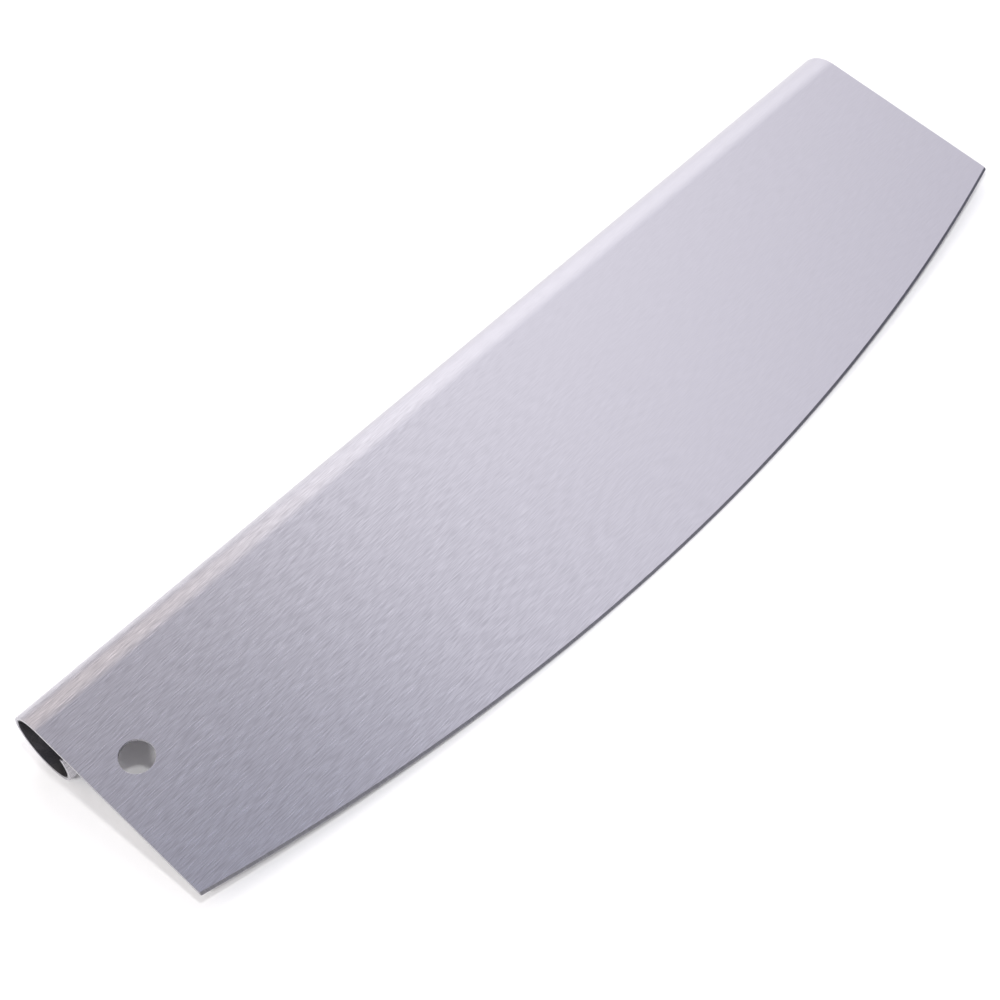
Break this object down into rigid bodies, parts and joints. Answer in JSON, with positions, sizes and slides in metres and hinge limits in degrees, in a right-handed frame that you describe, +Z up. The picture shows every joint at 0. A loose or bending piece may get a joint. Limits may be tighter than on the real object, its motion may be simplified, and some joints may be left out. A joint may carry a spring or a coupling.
{
  "type": "pizza cutter",
  "caption": "Rocker pizza cutter: flat steel blade with a long curved cutting edge, a top margin rolled back into an open tube as the handle, and a round hanging hole near one end.",
  "frame": {"origin": "middle of the footprint, on the surface that the cutter lies on", "axes": "+X along the rolled handle, away from the hanging hole; +Y across the surface from the cutting edge to the roll; +Z up, out of the front face"},
  "size_m": [0.35, 0.098, 0.0226],
  "materials": {
    "brushed_sheet": "brushed along the handle",
    "ground_edge": "ground to a bevel"
  },
  "bodies": {
    "root": {"blade": "brushed_sheet", "cutting_edge": "ground_edge", "handle_roll": "brushed_sheet"}
  },
  "joints": []
}
